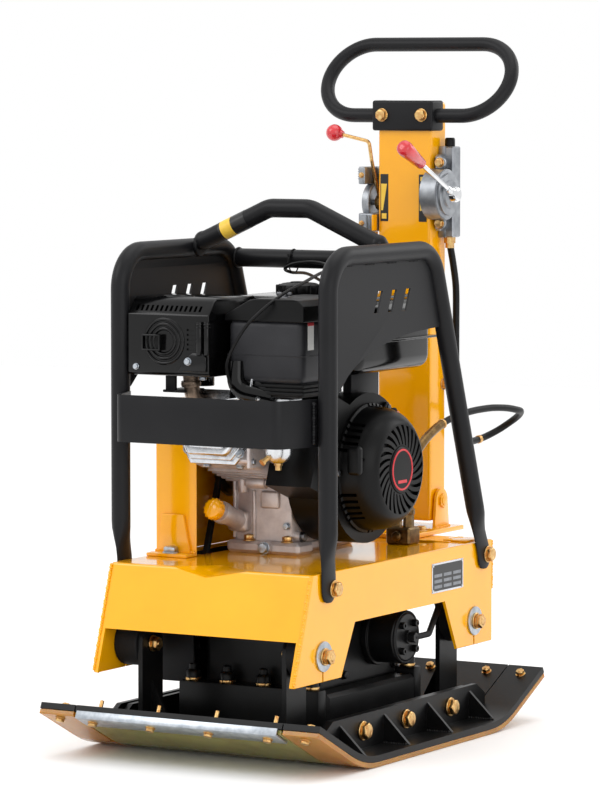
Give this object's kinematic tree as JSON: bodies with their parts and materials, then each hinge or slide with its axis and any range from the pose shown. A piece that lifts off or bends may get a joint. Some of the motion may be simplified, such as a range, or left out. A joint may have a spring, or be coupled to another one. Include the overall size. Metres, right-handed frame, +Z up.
{
  "type": "plate compactor",
  "caption": "Reversible vibrating plate compactor: engine on a sprung deck over a geared exciter and skid plate, with a tube frame and a folding control column.",
  "frame": {"origin": "on the ground, under the middle of the skid plate", "axes": "+X towards the engine's starter side, -Y the front, +Z up"},
  "size_m": [0.5, 0.9273, 1.1203],
  "materials": {
    "yellow_enamel": "glossy yellow enamel on sheet steel",
    "black_powder_coat": "satin black powder coat",
    "skid_paint": "black paint on thick steel plate",
    "polyurethane": "translucent amber polyurethane sheet",
    "clear_zinc": "clear zinc-plated steel",
    "yellow_zinc": "yellow-passivated zinc plate on steel",
    "cast_aluminium": "sand-textured cast aluminium",
    "natural_rubber": "black moulded rubber",
    "moulded_plastic": "fine-grained black moulded plastic",
    "red_plastic": "glossy red moulded plastic",
    "hose_cover": "extruded black rubber",
    "machined_steel": "oiled machined steel"
  },
  "bodies": {
    "chassis": {"base_plate": "skid_paint", "extension_plate_left": "skid_paint", "extension_plate_right": "skid_paint", "paving_pad_center": "polyurethane", "paving_pad_left": "polyurethane", "paving_pad_right": "polyurethane", "pad_strip_front": "clear_zinc", "pad_strip_rear": "clear_zinc", "post_front_left": "skid_paint", "post_front_right": "skid_paint", "post_rear_left": "skid_paint", "post_rear_right": "skid_paint", "rubber_buffer_front_left": "natural_rubber", "rubber_buffer_front_right": "natural_rubber", "rubber_buffer_rear_left": "natural_rubber", "rubber_buffer_rear_right": "natural_rubber", "deck": "yellow_enamel", "exciter_housing": "skid_paint", "shift_cylinder": "skid_paint", "belt_guard_upper": "yellow_enamel", "belt_guard_lower": "black_powder_coat", "v_belt": "natural_rubber", "engine_block": "cast_aluminium", "cylinder_head": "cast_aluminium", "valve_cover": "clear_zinc", "blower_housing": "moulded_plastic", "recoil_cover": "moulded_plastic", "fuel_tank": "moulded_plastic", "air_cleaner": "moulded_plastic", "carburetor": "cast_aluminium", "muffler": "black_powder_coat", "cage_frame_left": "black_powder_coat", "cage_frame_right": "black_powder_coat", "cage_cross_tube": "black_powder_coat", "front_bumper": "black_powder_coat", "column_bracket": "yellow_enamel", "column_pivot_bolt": "yellow_zinc", "hydraulic_fitting": "yellow_zinc", "hydraulic_hose": "hose_cover", "throttle_cable": "hose_cover"},
    "column": {"column": "yellow_enamel", "handle_bar": "black_powder_coat", "control_head": "cast_aluminium", "throttle_housing": "cast_aluminium"},
    "travel_lever": {"control_lever": "clear_zinc", "control_grip": "red_plastic"},
    "travel_piston": {"control_piston": "machined_steel"},
    "throttle": {"throttle_lever": "yellow_zinc", "throttle_knob": "red_plastic"},
    "lifting_bar": {"lifting_bar": "black_powder_coat"},
    "fuel_cap": {"fuel_cap": "moulded_plastic"},
    "oil_filler_cap": {"oil_filler_cap": "yellow_enamel"},
    "stop_switch": {"stop_switch": "red_plastic"},
    "starter_grip": {"starter_grip": "moulded_plastic"},
    "crankshaft": {"crankshaft": "machined_steel", "clutch_drum": "machined_steel", "flywheel_fan": "cast_aluminium"},
    "exciter_front": {"exciter_shaft_front": "machined_steel", "exciter_pulley": "machined_steel"},
    "exciter_rear": {"exciter_shaft_rear": "machined_steel"}
  },
  "joints": [
    {"name": "column_fold", "type": "hinge", "parent": "chassis", "child": "column", "pos_m": [0, 0.3725, 0.352], "axis": [-1, 0, 0], "range_deg": [0, 70], "deforming": ["hydraulic_hose", "throttle_cable"]},
    {"name": "travel_control", "type": "hinge", "parent": "column", "child": "travel_lever", "pos_m": [0.093, 0.345, 0.862], "axis": [-1, 0, 0], "range_deg": [-60, 50]},
    {"name": "piston_slide", "type": "slide", "parent": "column", "child": "travel_piston", "axis": [0, 0, 1], "range_m": [-0.0212, 0.0254]},
    {"name": "throttle_control", "type": "hinge", "parent": "column", "child": "throttle", "pos_m": [-0.061, 0.374, 0.846], "axis": [1, 0, 0], "range_deg": [-4, 45]},
    {"name": "lifting_bar_swing", "type": "hinge", "parent": "chassis", "child": "lifting_bar", "pos_m": [0, -0.03, 0.785], "axis": [1, 0, 0], "range_deg": [-70, 70]},
    {"name": "fuel_cap_turn", "type": "hinge", "parent": "chassis", "child": "fuel_cap", "pos_m": [0, 0, 0.71], "axis": [0, 0, 1], "range_deg": [0, 90]},
    {"name": "oil_filler_cap_turn", "type": "hinge", "parent": "chassis", "child": "oil_filler_cap", "pos_m": [-0.082, -0.118, 0.372], "axis": [-0.0725, -0.9425, 0.3263], "range_deg": [0, 180]},
    {"name": "stop_switch_turn", "type": "hinge", "parent": "chassis", "child": "stop_switch", "pos_m": [0.1, 0.129, 0.513], "axis": [1, 0, 0], "range_deg": [0, 45]},
    {"name": "starter_pull", "type": "slide", "parent": "chassis", "child": "starter_grip", "axis": [0, -1, 0], "range_m": [0, 0.15], "stiffness_N_per_m": 40, "springref_m": -0.05},
    {"name": "crankshaft_spin", "type": "hinge", "parent": "chassis", "child": "crankshaft", "pos_m": [0, 0.045, 0.435], "axis": [1, 0, 0], "continuous": true},
    {"name": "exciter_front_spin", "type": "hinge", "parent": "chassis", "child": "exciter_front", "pos_m": [0, -0.05, 0.165], "axis": [1, 0, 0], "continuous": true},
    {"name": "exciter_rear_spin", "type": "hinge", "parent": "chassis", "child": "exciter_rear", "pos_m": [0, 0.07, 0.165], "axis": [1, 0, 0], "continuous": true}
  ],
  "couplings": [
    {"joint": "piston_slide", "follows": "travel_control", "m_per_rad": -0.024},
    {"joint": "exciter_front_spin", "follows": "crankshaft_spin", "ratio": 1},
    {"joint": "exciter_rear_spin", "follows": "crankshaft_spin", "ratio": -1}
  ]
}
